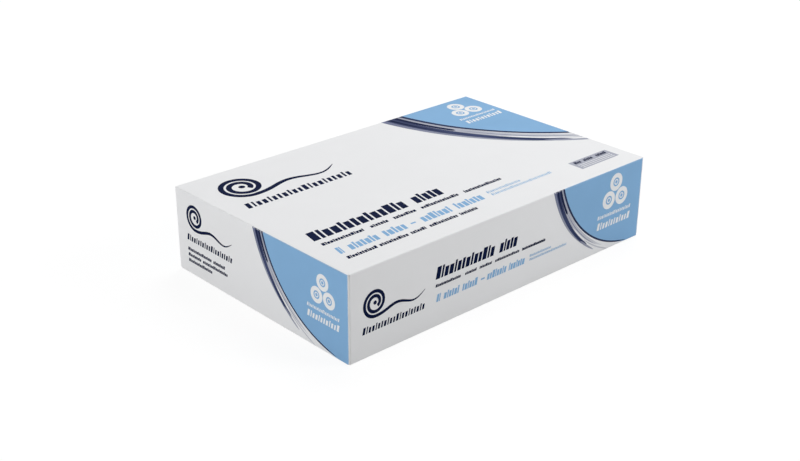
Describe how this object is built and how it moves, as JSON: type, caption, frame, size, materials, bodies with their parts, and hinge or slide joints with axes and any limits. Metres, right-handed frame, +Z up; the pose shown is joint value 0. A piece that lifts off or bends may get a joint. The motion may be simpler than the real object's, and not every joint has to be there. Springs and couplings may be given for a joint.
{
  "type": "carton of foil refill rolls",
  "caption": "Sealed board carton for foil refill rolls lying side by side, with glued full-size end flaps and a printed coloured corner on each side panel.",
  "frame": {"origin": "centre of the carton's base, on the surface it stands on", "axes": "+X along the rolls towards the carton's right end as seen from the front, +Y towards the back, +Z up through the top panel"},
  "size_m": [0.31, 0.2002, 0.0685],
  "materials": {
    "board": "white coated board, satin",
    "blue_ink": "light blue ink under satin varnish",
    "navy_ink": "navy ink under satin varnish",
    "grey_ink": "silver-grey ink under satin varnish"
  },
  "bodies": {
    "root": {"carton": "board", "blue_print": "blue_ink", "navy_print": "navy_ink", "grey_print": "grey_ink"}
  },
  "joints": []
}
